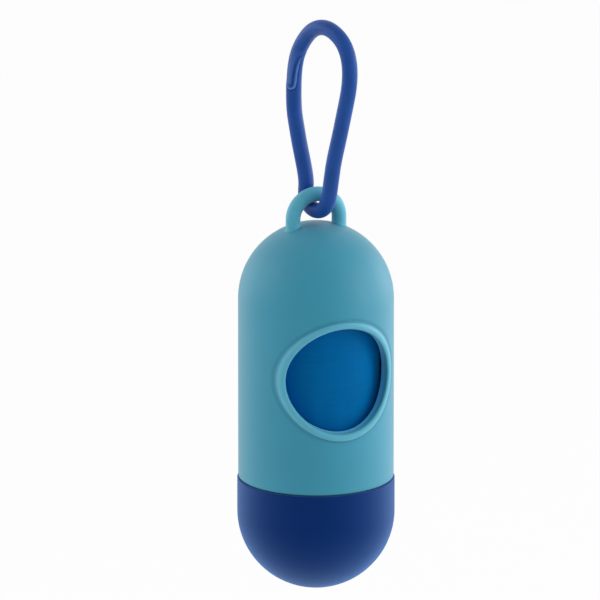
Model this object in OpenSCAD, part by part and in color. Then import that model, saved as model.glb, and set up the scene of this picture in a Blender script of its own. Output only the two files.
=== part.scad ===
// Waste bag dispenser for a dog lead: a round-ended capsule that hangs from a strap loop.
// The upper shell has the round window that bags are pulled through, and an eyelet on top.
// The lower cap screws up into the shell's open end and carries the roll of bags.
// Origin: the middle of the hook space under the top of the strap loop, on the capsule's axis.
// +Z is up and the window faces -Y. Sizes are in millimetres and angles in degrees.

/* [Upper shell] */
// Outside diameter of the upper shell
body_d = 40; // [36:0.1:46]
// Wall of the upper shell
wall = 2.7; // [2.6:0.05:3.3]
// Depth of the seam below the centre of the domed top
tube_h = 47.1; // [44:0.1:54]
// Bevel along the shell's lower edge
shell_bevel = 0.4; // [0.1:0.05:0.8]

/* [Window] */
// Diameter of the round window
window_d = 27.6; // [16:0.1:28.4]
// Depth of the window's centre below the centre of the domed top
window_drop = 17.1; // [16:0.1:24]
// Width of the raised rim around the window
rim_w = 1.9; // [0.8:0.1:2.2]
// Height of the raised rim above the shell
rim_h = 0.7; // [0.2:0.05:1.2]

/* [Eyelet] */
// Thickness of the eyelet's round bar
bar_d = 3.8; // [2.6:0.1:4]
// Radius of the eyelet's arch, to the middle of the bar
arch_r = 6.3; // [6.2:0.1:7.2]
// Height of the middle of the bar above the top of the dome
bar_rise = 7.6; // [7.2:0.1:10]

/* [Lower cap] */
// Height of the cap's straight skirt, from the seam down to where its round end starts
skirt_h = 9.3; // [8:0.1:14]
// Wall of the cap's round end
cap_wall = 2; // [1.2:0.1:2.4]
// How far the cap stands out past the shell, all round
cap_proud = 0.25; // [0.05:0.05:0.8]
// Bevel along the cap's upper edge
cap_bevel = 0.25; // [0.1:0.05:0.5]

/* [Screw thread] */
// Wall of the shell's neck, below the thread
neck_wall = 1.1; // [0.9:0.05:1.3]
// Height of a thread ridge
thread_h = 0.6; // [0.3:0.05:0.7]
// How far one turn moves the cap
thread_lead = 7; // [6.6:0.1:9]
// Number of ridges that start side by side
thread_starts = 2; // [2]
// Width of a ridge at its foot
ridge_foot = 1.9; // [1.2:0.05:2.1]
// Width of a ridge at its crest
ridge_crest = 1.2; // [0.6:0.05:1.4]
// Plain length left above and below the ridges
thread_margin = 1; // [0.6:0.1:1.4]

/* [Bag roll] */
// Radial gap between the full roll and the shell's wall, all round
roll_play = 0.8; // [0.5:0.1:3]
// Height of the roll
roll_h = 60.5; // [50:0.5:66]
// Outside diameter of the card core
core_d = 15; // [12:0.5:18]
// Wall of the card core
core_wall = 1.2; // [0.8:0.1:2]

/* [Strap] */
// Thickness of the strap's round cord
cord_d = 4; // [3:0.1:4.2]
// Turn of the loop's plane away from -Y, towards +X
loop_turn = 15; // [0:1:15]
// Depth of the eyelet's bar below the origin
bar_depth = 37.4; // [37.2:0.05:37.6]

/* [Clearances] */
// Gap where one piece rests on another
seat_gap = 0.3; // [0.1:0.05:0.5]
// Radial gap between a thread crest and the wall that it faces
thread_gap = 0.15; // [0.1:0.05:0.3]
// Radial running gap between the core and the film around it
core_gap = 0.05; // [0.02:0.01:0.1]

/* [Hidden] */

// How far a cut runs past the face that it opens
past = 1;
// Depth that a ridge's foot is sunk into its wall
ridge_sink = 0.25;
// Angle between two rings of a ridge
ridge_step = 10;
// Sides of the strap's tube
cord_sides = 12;
$fn = 96;

// Radii, from the inside out
body_r = body_d / 2;
chamber_r = body_r - wall;
neck_r = chamber_r + neck_wall;
cap_bore_r = neck_r + thread_h + thread_gap;
cap_r = body_r + cap_proud;
floor_r = cap_r - cap_wall;
roll_r = chamber_r - roll_play;
core_r = core_d / 2;
window_r = window_d / 2;
rim_r = window_r + rim_w;

// Heights, from the eyelet down
bar_z = -bar_depth;
arch_z = bar_z - arch_r;
dome_z = bar_z - bar_rise - body_r;
window_z = dome_z - window_drop;
seam_z = dome_z - tube_h;
low_z = seam_z - skirt_h;
neck_h = skirt_h - seat_gap;
neck_z = seam_z - neck_h;
cap_rim_z = seam_z - seat_gap;
roll_z = low_z - sqrt(pow(floor_r - seat_gap, 2) - pow(roll_r, 2));

// The eyelet's feet end inside the dome's wall, under its outside and above its inside
foot_z = dome_z + (sqrt(pow(body_r, 2) - pow(arch_r + bar_d / 2, 2))
       + sqrt(pow(chamber_r, 2) - pow(arch_r - bar_d / 2, 2))) / 2;

// The ridges fill the neck between the two margins
thread_low_z = neck_z + thread_margin + ridge_foot / 2;
thread_turn = 360 * (neck_h - 2 * thread_margin - ridge_foot) / thread_lead;

// The strap's route in the plane of its loop: across towards the front, and up.
// It starts at the joint of its two ends, goes down the back and up the front.
ROUTE = [
    [-9.6, -9], [-9.7, -13], [-9.4, -17.5], [-8.4, -21.5], [-7.2, -25.5], [-5.8, -29.5], [-4.7, -33],
    [-4.3, -35.5], [-4.5, -37.8], [-4.1, -39.9], [-2.5, -41.3], [-0.2, -41.8], [2.1, -41.3], [4.1, -39.9],
    [5.3, -37.9], [6, -35.4], [6.6, -32.5], [7.6, -28], [9, -23.5], [10.5, -19], [11.9, -14.5], [13.3, -10],
    [14.3, -6], [14.6, -2], [13.9, 1.6], [12, 4.5], [9, 6.4], [5.4, 7.3], [1.6, 6.9], [-1.8, 5.3],
    [-4.5, 2.9], [-6.6, 0.3], [-8.2, -2.5], [-9.2, -5.8]
];

// A closed tube along a flat loop of points: rings of corners, joined by pairs of triangles
module closed_tube(points, radius, sides) {
    count = len(points);
    corners = [
        for (i = [0 : count - 1])
            let (
                p = points[i],
                ahead = points[(i + 1) % count] - points[(i + count - 1) % count],
                side = [ahead[1], -ahead[0]] / norm(ahead)
            )
            for (k = [0 : sides - 1])
                let (a = 360 * k / sides, out = radius * cos(a))
                [p[0] + side[0] * out, radius * sin(a), p[1] + side[1] * out]
    ];
    faces = [
        for (i = [0 : count - 1], k = [0 : sides - 1])
            let (
                a = i * sides + k,
                b = i * sides + (k + 1) % sides,
                c = ((i + 1) % count) * sides + (k + 1) % sides,
                d = ((i + 1) % count) * sides + k
            )
            each [[a, c, b], [a, d, c]]
    ];
    polyhedron(corners, faces, convexity = 6);
}

// One thread ridge: a low trapezium swept up a right-hand helix, from foot_r to crest_r,
// running out into the wall at both ends
module ridge(foot_r, crest_r, low_z, turn) {
    rings = ceil(turn / ridge_step);
    step = turn / rings;
    corners = [
        for (i = [0 : rings])
            let (
                a = i * step,
                z = low_z + thread_lead * a / 360,
                tip_r = (i == 0 || i == rings) ? foot_r + (crest_r - foot_r) * 0.15 : crest_r
            )
            each [
                [foot_r * cos(a), foot_r * sin(a), z - ridge_foot / 2],
                [tip_r * cos(a), tip_r * sin(a), z - ridge_crest / 2],
                [tip_r * cos(a), tip_r * sin(a), z + ridge_crest / 2],
                [foot_r * cos(a), foot_r * sin(a), z + ridge_foot / 2]
            ]
    ];
    // Seen from outside the ridge, a face's corners run clockwise. A ridge that points
    // inwards has its section mirrored, so its faces are turned over.
    outward = crest_r > foot_r;
    sides = [
        for (i = [0 : rings - 1], k = [0 : 3])
            let (a = 4 * i + k, b = 4 * i + (k + 1) % 4, c = b + 4, d = a + 4)
            each [[a, b, c], [a, c, d]]
    ];
    last = 4 * rings;
    ends = [[0, 2, 1], [0, 3, 2], [last, last + 1, last + 2], [last, last + 2, last + 3]];
    faces = concat(sides, ends);
    polyhedron(corners, outward ? faces : [for (f = faces) [f[2], f[1], f[0]]], convexity = 6);
}

// All the ridges of one thread, set evenly round the axis from the angle given
module thread(foot_r, crest_r, first_angle) {
    for (i = [0 : thread_starts - 1])
        rotate([0, 0, first_angle + 360 * i / thread_starts])
            ridge(foot_r, crest_r, thread_low_z, thread_turn);
}

// A round block with a bevel on its lower outer edge and one on its upper outer edge
module round_block(radius, low, high, low_bevel = 0, high_bevel = 0) {
    low_corner = low_bevel > 0 ? [[radius - low_bevel, low], [radius, low + low_bevel]] : [[radius, low]];
    high_corner = high_bevel > 0 ? [[radius, high - high_bevel], [radius - high_bevel, high]] : [[radius, high]];
    rotate_extrude()
        polygon(concat([[0, low]], low_corner, high_corner, [[0, high]]));
}

// Half a ball with its flat side at height z, its round side up, or down where way is -1
module half_ball(radius, z, way) {
    translate([0, 0, z])
        rotate_extrude()
            intersection() {
                circle(r = radius);
                translate([0, way > 0 ? 0 : -radius]) square(radius);
            }
}

// The eyelet: half a ring on two straight legs
module eyelet() {
    translate([0, 0, arch_z])
        rotate([90, 0, 0])
            rotate_extrude(angle = 180)
                translate([arch_r, 0])
                    circle(d = bar_d, $fn = 48);
    for (side = [-1, 1])
        translate([side * arch_r, 0, arch_z])
            mirror([0, 0, 1])
                cylinder(d = bar_d, h = arch_z - foot_z, $fn = 48);
}

// A round bar along the window's axis, from the capsule's axis out through the front
module window_bar(radius) {
    translate([0, 0, window_z])
        rotate([90, 0, 0])
            cylinder(r = radius, h = body_r + rim_h + past, $fn = 120);
}

module upper_shell() {
    color([0.36, 0.62, 0.72])
        difference() {
            union() {
                half_ball(body_r, dome_z, 1);
                round_block(body_r, seam_z, dome_z, low_bevel = shell_bevel);
                translate([0, 0, neck_z]) cylinder(r = neck_r, h = neck_h + past);
                thread(neck_r - ridge_sink, neck_r + thread_h, 0);
                intersection() {
                    window_bar(rim_r);
                    translate([0, 0, window_z - rim_r - past])
                        cylinder(r = body_r + rim_h, h = 2 * (rim_r + past), $fn = 120);
                }
                eyelet();
            }
            half_ball(chamber_r, dome_z, 1);
            round_block(chamber_r, neck_z - past, dome_z);
            window_bar(window_r);
        }
}

module lower_cap() {
    color([0.10, 0.19, 0.42])
        union() {
            difference() {
                union() {
                    half_ball(cap_r, low_z, -1);
                    round_block(cap_r, low_z, cap_rim_z, high_bevel = cap_bevel);
                }
                half_ball(floor_r, low_z, -1);
                round_block(cap_bore_r, low_z, seam_z + past);
            }
            thread(cap_bore_r + ridge_sink, cap_bore_r - thread_h, 180 / thread_starts);
        }
}

module strap() {
    color([0.12, 0.28, 0.58])
        rotate([0, 0, loop_turn - 90])
            closed_tube(ROUTE, cord_d / 2, cord_sides);
}

module roll_core() {
    color([0.72, 0.60, 0.45])
        translate([0, 0, roll_z])
            difference() {
                cylinder(r = core_r, h = roll_h);
                translate([0, 0, -past]) cylinder(r = core_r - core_wall, h = roll_h + 2 * past);
            }
}

module bag_roll() {
    color([0.02, 0.30, 0.50])
        translate([0, 0, roll_z])
            difference() {
                cylinder(r = roll_r, h = roll_h);
                translate([0, 0, -past]) cylinder(r = core_r + core_gap, h = roll_h + 2 * past);
            }
}

upper_shell();
lower_cap();
strap();
roll_core();
bag_roll();
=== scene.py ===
# Looks of a capsule bag dispenser: a shell with a round window, a screw cap, a strap loop and a roll of bags.
# Lengths are in metres, in the frame of the packed model: +Z up and the window facing -Y.
import math
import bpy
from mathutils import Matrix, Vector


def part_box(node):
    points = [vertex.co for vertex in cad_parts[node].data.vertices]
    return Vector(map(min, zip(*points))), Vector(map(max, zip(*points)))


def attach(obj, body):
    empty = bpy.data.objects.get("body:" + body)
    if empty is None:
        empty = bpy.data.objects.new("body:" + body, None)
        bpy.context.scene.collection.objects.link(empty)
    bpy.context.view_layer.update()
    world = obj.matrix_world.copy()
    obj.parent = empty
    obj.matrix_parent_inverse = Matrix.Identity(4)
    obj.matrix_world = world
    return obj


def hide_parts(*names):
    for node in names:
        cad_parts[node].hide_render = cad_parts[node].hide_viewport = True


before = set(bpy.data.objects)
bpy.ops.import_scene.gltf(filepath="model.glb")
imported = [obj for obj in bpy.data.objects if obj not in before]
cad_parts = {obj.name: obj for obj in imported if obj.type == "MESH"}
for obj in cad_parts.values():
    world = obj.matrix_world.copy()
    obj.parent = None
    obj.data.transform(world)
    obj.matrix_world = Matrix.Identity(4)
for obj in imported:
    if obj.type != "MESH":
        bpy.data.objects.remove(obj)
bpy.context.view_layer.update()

from types import SimpleNamespace

import bmesh
import bpy
import numpy as np
from bpy.props import FloatProperty, FloatVectorProperty, IntProperty, PointerProperty
from mathutils import Vector

bl_info = {
    "name": "Bag dispenser",
    "version": (1, 0, 0),
    "blender": (4, 5, 0),
    "location": "3D View > Sidebar > Dispenser",
    "description": "Builds a capsule bag dispenser with its window, screw cap, strap loop and bag roll",
    "category": "Object",
}

MM = 0.001
# Faces round the capsule, along each side of the square round an eyelet's foot, and along half a side of the
# squared hole round the window.
AROUND = 144
FOOT_SIDE = AROUND // 6
WINDOW_HALF = 28

# The strap's route in the plane of its loop, across towards the front and up, in millimetres, as the packed
# model has it. It starts at the joint of its two ends, goes down the back and up the front.
ROUTE = (
    (-9.6, -9.0), (-9.7, -13.0), (-9.4, -17.5), (-8.4, -21.5), (-7.2, -25.5), (-5.8, -29.5), (-4.7, -33.0),
    (-4.3, -35.5), (-4.5, -37.8), (-4.1, -39.9), (-2.5, -41.3), (-0.2, -41.8), (2.1, -41.3), (4.1, -39.9),
    (5.3, -37.9), (6.0, -35.4), (6.6, -32.5), (7.6, -28.0), (9.0, -23.5), (10.5, -19.0), (11.9, -14.5),
    (13.3, -10.0), (14.3, -6.0), (14.6, -2.0), (13.9, 1.6), (12.0, 4.5), (9.0, 6.4), (5.4, 7.3), (1.6, 6.9),
    (-1.8, 5.3), (-4.5, 2.9), (-6.6, 0.3), (-8.2, -2.5), (-9.2, -5.8),
)
ROUTE_LOWEST = 11


def length(name, description, millimetres):
    """A length that a user can change."""
    return FloatProperty(
        name=name, description=description, default=millimetres * MM, min=0, unit="LENGTH", precision=5
    )


def degrees(name, description, value):
    """An angle that a user can change."""
    return FloatProperty(name=name, description=description, default=math.radians(value), subtype="ANGLE")


def factor(name, description, value):
    """A plain number from 0 up that a user can change."""
    return FloatProperty(name=name, description=description, default=value, min=0)


def colour(name, description, value):
    """A colour that a user can change."""
    return FloatVectorProperty(
        name=name, description=description, default=value, size=3, min=0, max=1, subtype="COLOR"
    )


class DispenserShell(bpy.types.PropertyGroup):
    """Sizes of the upper shell"""

    body_d: length("Body diameter", "Outside diameter of the shell", 40)
    wall: length("Wall", "Thickness of the shell's wall", 2.7)
    tube_h: length("Tube height", "Depth of the seam below the centre of the domed top", 47.1)
    shell_bevel: length("Bevel", "Rounding along the shell's lower edge", 0.4)
    window_d: length("Window diameter", "Diameter of the round window", 27.6)
    window_drop: length("Window drop", "Depth of the window's centre below the centre of the domed top", 17.1)
    rim_w: length("Rim width", "Width of the raised rim around the window", 1.9)
    rim_h: length("Rim height", "Height of the raised rim above the shell", 0.7)
    rim_round: length("Rim rounding", "Radius along the rim's inner edge", 1.1)
    rim_inside: length("Inner rounding", "Radius along the window's edge inside the shell", 0.4)
    rim_groove: length("Rim groove", "Depth of the groove around the rim's foot", 0.14)
    rim_foot: length("Rim foot", "Radius of the hollow where the rim meets the shell", 0.3)
    bar_d: length("Eyelet bar", "Thickness of the eyelet's round bar", 3.8)
    arch_r: length("Eyelet arch", "Radius of the eyelet's arch, to the middle of the bar", 6.3)
    bar_rise: length("Eyelet height", "Height of the middle of the bar above the top of the dome", 7.6)
    foot_fillet: length("Eyelet fillet", "Radius where the eyelet's feet meet the dome", 0.5)


class DispenserCap(bpy.types.PropertyGroup):
    """Sizes of the lower cap"""

    skirt_h: length("Skirt height", "Height from the seam down to where the round end starts", 9.3)
    cap_wall: length("Wall", "Thickness of the round end", 2)
    cap_proud: length("Stand-out", "How far the cap stands out past the shell", 0.25)
    cap_bevel: length("Bevel", "Rounding along the cap's upper edge", 0.25)
    seat_gap: length("Seam gap", "Gap between the shell's lower edge and the cap's rim", 0.3)


class DispenserThread(bpy.types.PropertyGroup):
    """Sizes of the screw thread that the shell and the cap share"""

    neck_wall: length("Neck wall", "Thickness of the shell's neck below the thread", 1.1)
    thread_h: length("Ridge height", "Height of a thread ridge", 0.6)
    thread_gap: length("Crest gap", "Gap between a crest and the wall that it faces", 0.15)
    thread_lead: length("Lead", "How far one turn moves the cap", 7)
    thread_starts: IntProperty(name="Starts", description="Number of ridges side by side", default=2, min=1)
    ridge_foot: length("Foot width", "Width of a ridge at its foot", 1.9)
    ridge_crest: length("Crest width", "Width of a ridge at its crest", 1.2)
    thread_margin: length("Margin", "Plain length left above and below the ridges", 1)
    foot_ease: length("Foot ease", "How much narrower a ridge's foot is before its rounding", 0.2)
    ridge_round: length("Ridge rounding", "Rounding along a ridge's foot and crest", 0.12)
    run_out: degrees("Run-out", "Turn over which a ridge rises at its start and sinks at its end", 14)


class DispenserRoll(bpy.types.PropertyGroup):
    """Sizes of the bag roll and its card core"""

    film_step: length("Film edge", "Height of the step at the film's free edge", 0.12)
    crease: length("Creases", "Depth of the creases in the wound film", 0.05)
    turn_pitch: length("Turn pitch", "Distance between two visible turns on the roll's ends", 0.9)
    turn_depth: length("Turn depth", "How far the turns' edges sink on the roll's ends", 0.35)
    film_round: length("Film rounding", "Radius along the edges of the wound film", 0.3)
    core_gap: length("Core gap", "Gap between the film and its core", 0.05)
    card_wall: length("Card wall", "Wall of the card core", 1.2)
    card_lay: length("Card lay", "Height of one turn of the card's wound strip", 24)
    card_groove: length("Card groove", "Depth of the groove between two turns of the strip", 0.05)
    card_round: length("Card rounding", "Radius along the core's edges", 0.12)


class DispenserStrap(bpy.types.PropertyGroup):
    """Sizes of the strap loop"""

    cord_d: length("Cord thickness", "Diameter of the round cord", 4)
    route_blur: length("Route blur", "How far the bends of its route are smoothed", 0.6)
    loop_turn: degrees("Loop turn", "Turn of the loop's plane away from the window's side", 15)
    lap_lip: length("Lap lip", "How far the overlapping end stands out", 0.22)
    lap_groove: length("Lap groove", "Depth of the line along the overlapping end", 0.16)
    lap_turn: degrees("Lap turn", "Direction that the joint's tongue faces, from the window's side", -21)
    lap_drop: length("Lap drop", "Depth of the tongue's tip below the frame's origin", 11.4)
    sides: IntProperty(name="Sides", description="Faces round the cord", default=80, min=12)


class DispenserColours(bpy.types.PropertyGroup):
    """Colours of the pieces"""

    shell: colour("Shell", "Grey-blue moulded plastic", (0.025, 0.298, 0.436))
    # Paler tone of the raised rim and eyelet: partly rubbed wear, partly a painted highlight where they catch
    # the light.
    rubbed_and_highlight: colour("Rubbed shell", "Paler tone of the shell's raised rim and eyelet", (0.082, 0.435, 0.590))
    # Painted reflected light: the film's blue light on the window's wall, painted into the wall's colour.
    wall: colour("Window wall", "Bluer tone of the window's wall, lit by the film", (0.010, 0.560, 1.000))
    cap: colour("Cap", "Dark blue moulded plastic", (0.0005, 0.014, 0.112))
    strap: colour("Strap", "Dark blue silicone", (0.012, 0.075, 0.332))
    # Painted highlight: the paler tone of the lip and tongue of the strap's joint, where they catch the
    # light.
    joint: colour("Strap joint", "Paler tone of the lip along the strap's joint", (0.110, 0.250, 0.640))
    dust: colour("Strap dust", "Pale specks on the strap", (0.350, 0.450, 0.650))
    film: colour("Bag film", "Deep blue film", (0.0003, 0.130, 0.364))
    card: colour("Card", "Grey-brown card", (0.330, 0.235, 0.150))
    floor: colour("Floor", "Pale studio floor", (0.92, 0.92, 0.92))


class DispenserStage(bpy.types.PropertyGroup):
    """The camera and the light"""

    azimuth: degrees("Azimuth", "Camera's turn round the capsule from the window's side", -21)
    elevation: degrees("Elevation", "Camera's height above the horizon", 15.5)
    frame_width: length("Frame width", "Width that the picture covers at the capsule", 153.84)
    focal: FloatProperty(name="Focal length", description="Camera's focal length in millimetres", default=900)
    aim_side: length("Aim sideways", "How far left of the axis the camera aims", 4.1)
    aim_drop: length("Aim drop", "How far below the centre of the domed top the camera aims", 0.585)
    key: factor("Right lamp", "Power of the large lamp on the right, in watts", 3.1)
    key_side: degrees("Right lamp side", "Turn of the right lamp from the camera", 78)
    key_rise: degrees("Right lamp rise", "Height of the right lamp above the horizon", 15)
    fill: factor("Left lamp", "Power of the lamp on the left, in watts", 1.5)
    fill_side: degrees("Left lamp side", "Turn of the left lamp from the camera", -85)
    fill_rise: degrees("Left lamp rise", "Height of the left lamp above the horizon", 25)
    edge_right: factor("Right edge lamp", "Power of the narrow lamp behind on the right, in watts", 1.55)
    edge_left: factor("Left edge lamp", "Power of the narrow lamp behind on the left, in watts", 0.78)
    edge_side: degrees("Edge lamps' side", "Turn of the two narrow lamps from the camera", 124)
    edge_rise: degrees("Edge lamps' rise", "Height of the two narrow lamps above the horizon", 5)
    sky: factor("Sky", "Strength of the soft light from all round", 0.66)
    front: factor("Front share", "Share of the soft light from the front, the back and above", 0.6)
    key_width: length("Right lamp width", "Width of the right lamp", 550)
    fill_width: length("Left lamp width", "Width of the left lamp", 450)
    edge_width: length("Edge lamps' width", "Width of the two narrow lamps", 300)
    lamp_shape: factor("Lamp shape", "Height of each lamp as a share of its width", 1.4)
    lamp_away: length("Lamp distance", "Distance of the lamps from the place where they aim", 800)
    lamp_drop: length("Lamps' aim", "How far below the frame's origin the lamps aim", 75)
    floor_half: length("Floor", "Half the width of the floor", 6000)
    floor_drop: length("Floor drop", "Height at which the capsule hangs above the floor", 90)


def measures(scene):
    """The radii and heights that the pieces share, from the sizes and the packed model's boxes."""
    shell = scene.dispenser_shell
    cap = scene.dispenser_cap
    thread = scene.dispenser_thread
    m = SimpleNamespace()
    m.body_r = shell.body_d / 2
    m.chamber_r = m.body_r - shell.wall
    m.neck_r = m.chamber_r + thread.neck_wall
    m.cap_bore_r = m.neck_r + thread.thread_h + thread.thread_gap
    m.cap_r = m.body_r + cap.cap_proud
    m.floor_r = m.cap_r - cap.cap_wall
    m.window_r = shell.window_d / 2
    m.rim_r = m.window_r + shell.rim_w
    m.bar_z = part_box("upper_shell")[1].z - shell.bar_d / 2
    m.arch_r = shell.arch_r
    m.arch_z = m.bar_z - m.arch_r
    m.dome_z = m.bar_z - shell.bar_rise - m.body_r
    m.window_z = m.dome_z - shell.window_drop
    m.seam_z = m.dome_z - shell.tube_h
    m.low_z = m.seam_z - cap.skirt_h
    m.neck_z = m.low_z + cap.seat_gap
    m.rim_z = m.seam_z - cap.seat_gap
    neck_h = cap.skirt_h - cap.seat_gap
    m.thread_z = m.neck_z + thread.thread_margin + thread.ridge_foot / 2
    m.thread_turn = math.tau * (neck_h - 2 * thread.thread_margin - thread.ridge_foot) / thread.thread_lead
    return m


class Skin:
    """The points and faces of one piece, laid ring by ring."""

    def __init__(self):
        self.points = []
        self.faces = []
        self.marked = []

    def ring(self, points, mark=0.0):
        """Adds points and gives their numbers. A mark above 0 lets a later step move them."""
        first = len(self.points)
        self.points.extend(points)
        self.marked.extend([mark] * (len(self.points) - first))
        return list(range(first, len(self.points)))

    def lay(self, outline, mark=0.0):
        """A ring round the capsule's axis for each (radius, height) of an outline."""
        return [self.ring(turned(radius, z), mark) for radius, z in outline]

    def join(self, first, second, skip=()):
        """Faces between two closed rings of as many points, without those at the places to skip."""
        count = len(first)
        for i in range(count):
            if i not in skip:
                j = (i + 1) % count
                self.faces.append((first[i], first[j], second[j], second[i]))

    def chain(self, rings):
        """Faces between each ring and the next."""
        for first, second in zip(rings, rings[1:]):
            self.join(first, second)

    def close(self, ring, point):
        """A fan from a ring to one point."""
        centre = self.ring([point])[0]
        for i, number in enumerate(ring):
            self.faces.append((number, ring[(i + 1) % len(ring)], centre))

    def mesh(self, name):
        """The finished mesh, closed, smooth and facing outwards."""
        mesh = bpy.data.meshes.new(name)
        mesh.from_pydata(self.points, [], self.faces)
        keep(mesh, "ridge_wall", self.marked)
        even_faces(mesh)
        return mesh


def keep(mesh, name, values):
    """Stores a value or a vector for each point of a mesh."""
    values = np.asarray(values, dtype=np.float32)
    kind, field = ("FLOAT", "value") if values.ndim == 1 else ("FLOAT_VECTOR", "vector")
    mesh.attributes.new(name, kind, "POINT").data.foreach_set(field, values.ravel())


def turned(radius, z, count=AROUND):
    """Points of a circle round the capsule's axis."""
    return [
        (radius * math.cos(math.tau * i / count), radius * math.sin(math.tau * i / count), z)
        for i in range(count)
    ]


def arc(centre, radius, first, last, steps):
    """Points (out, up) of an arc about a centre (out, up), from one angle in degrees to another."""
    angles = [math.radians(first + (last - first) * i / steps) for i in range(steps + 1)]
    return [(centre[0] + radius * math.cos(a), centre[1] + radius * math.sin(a)) for a in angles]


def line(first, last, steps):
    """Evenly spaced values between two, without the first."""
    return [first + (last - first) * i / steps for i in range(1, steps + 1)]


class Wire:
    """An output socket of a node tree. Arithmetic on it adds Math nodes."""

    def __init__(self, net, socket):
        self.net = net
        self.socket = socket


for sign, operation in {"add": "ADD", "sub": "SUBTRACT", "mul": "MULTIPLY", "truediv": "DIVIDE"}.items():
    setattr(Wire, f"__{sign}__", lambda self, other, kind=operation: self.net.maths(kind, self, other))
    setattr(Wire, f"__r{sign}__", lambda self, other, kind=operation: self.net.maths(kind, other, self))


class Net:
    """Adds nodes to a tree and joins their sockets."""

    def __init__(self, tree):
        self.tree = tree

    def add(self, kind, settings=None, inputs=None, out=0):
        """A node of that kind with its settings and inputs, as the wire of one of its outputs."""
        node = self.tree.nodes.new(kind)
        for name, value in (settings or {}).items():
            setattr(node, name, value)
        for name, value in (inputs or {}).items():
            self.feed(node.inputs[name], value)
        return Wire(self, node.outputs[out]) if node.outputs else node

    def feed(self, socket, value):
        """Links a wire to a socket, or sets the socket to a value."""
        if isinstance(value, Wire):
            self.tree.links.new(value.socket, socket)
        else:
            socket.default_value = value

    def maths(self, operation, *values):
        """A Math node."""
        return self.add("ShaderNodeMath", {"operation": operation}, dict(enumerate(values)))

    def vectors(self, operation, *values, out=0):
        """A Vector Math node."""
        return self.add("ShaderNodeVectorMath", {"operation": operation}, dict(enumerate(values)), out)

    def mapped(self, value, low, high, to_low=0.0, to_high=1.0, smooth=True):
        """A value brought from one span to another, held at both ends."""
        way = "SMOOTHSTEP" if smooth else "LINEAR"
        spans = {"Value": value, "From Min": low, "From Max": high, "To Min": to_low, "To Max": to_high}
        return self.add("ShaderNodeMapRange", {"interpolation_type": way}, spans)

    def split(self, vector):
        """The three parts of a vector."""
        node = self.tree.nodes.new("ShaderNodeSeparateXYZ")
        self.feed(node.inputs[0], vector)
        return [Wire(self, output) for output in node.outputs]

    def vector(self, x, y, z):
        """A vector of three parts."""
        return self.add("ShaderNodeCombineXYZ", None, {"X": x, "Y": y, "Z": z})

    def mix(self, share, first, second):
        """A colour between two."""
        sockets = {"Factor": share, 6: first, 7: second}
        return self.add("ShaderNodeMix", {"data_type": "RGBA"}, sockets, out=2)

    def noise(self, place, scale, detail=2.0, roughness=0.5):
        """Soft noise from 0 to 1 at a place."""
        sockets = {"Vector": place, "Scale": scale, "Detail": detail, "Roughness": roughness}
        return self.add("ShaderNodeTexNoise", None, sockets)

    def bump(self, strength, depth, height):
        """The direction of a surface with a fine relief."""
        return self.add("ShaderNodeBump", None, {"Strength": strength, "Distance": depth, "Height": height})

    def reach(self, x, y):
        """The distance of a place from a centre."""
        return self.maths("SQRT", x * x + y * y)

    def turn(self, x, y):
        """The turn of a place round the capsule's axis, as a share of a whole turn."""
        return self.maths("ARCTAN2", y, x) / math.tau


def geometry_tree(name, values):
    """The net of a new Geometry Nodes tree with an input for each named value, and its inputs as wires."""
    tree = bpy.data.node_groups.new(name, "GeometryNodeTree")
    for way in ("OUTPUT", "INPUT"):
        tree.interface.new_socket("Geometry", in_out=way, socket_type="NodeSocketGeometry")
    kinds = {bpy.types.Material: "NodeSocketMaterial", int: "NodeSocketInt", float: "NodeSocketFloat"}
    for size, value in values.items():
        tree.interface.new_socket(size, in_out="INPUT", socket_type=kinds[type(value)])
    net = Net(tree)
    start = tree.nodes.new("NodeGroupInput")
    return net, {output.name: Wire(net, output) for output in start.outputs if output.name}


def end_tree(net, geometry, material):
    """Ends a tree in plain geometry with its material, and gives the tree."""
    real = net.add("GeometryNodeRealizeInstances", None, {"Geometry": geometry})
    dressed = net.add("GeometryNodeSetMaterial", None, {"Geometry": real, "Material": material})
    net.add("NodeGroupOutput", None, {0: dressed})
    return net.tree


def end_shifted(net, given, offset):
    """Ends a tree by moving each point of its mesh by an offset of its own."""
    moved = net.add("GeometryNodeSetPosition", None, {"Geometry": given["Geometry"], "Offset": offset})
    return end_tree(net, moved, given["Material"])


def thread_tree(values):
    """The rule of the screw thread: it lifts the points of a marked wall into ridges that climb round it."""
    net, given = geometry_tree("Screw thread", values)
    x, y, z = net.split(net.add("GeometryNodeInputPosition"))
    gap = math.tau / given["Starts"]
    angle = net.maths("ARCTAN2", y, x) - given["First angle"]
    first = net.maths("FLOORED_MODULO", angle, gap)
    over = z - (given["Lowest height"] + given["Lead"] * first / math.tau)
    pitch = given["Lead"] / given["Starts"]
    number = net.maths("ROUND", over / pitch)
    climbed = first + number * gap
    away = net.maths("ABSOLUTE", over - number * pitch)
    slope = (given["Foot width"] / 2 - away) / ((given["Foot width"] - given["Crest width"]) / 2)
    low = net.maths("SMOOTH_MIN", slope * given["Ridge height"], given["Ridge height"], given["Rounding"])
    rise = net.maths("SMOOTH_MAX", low, 0.0, given["Rounding"])
    begun = net.mapped(climbed, 0.0, given["Run-out"])
    ended = net.mapped(given["Turn"] - climbed, 0.0, given["Run-out"])
    wall = net.add("GeometryNodeInputNamedAttribute", {"data_type": "FLOAT"}, {"Name": "ridge_wall"})
    rise = rise * begun * ended * wall * given["Way"]
    radius = net.reach(x, y)
    return end_shifted(net, given, net.vector(x / radius * rise, y / radius * rise, 0.0))


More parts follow.
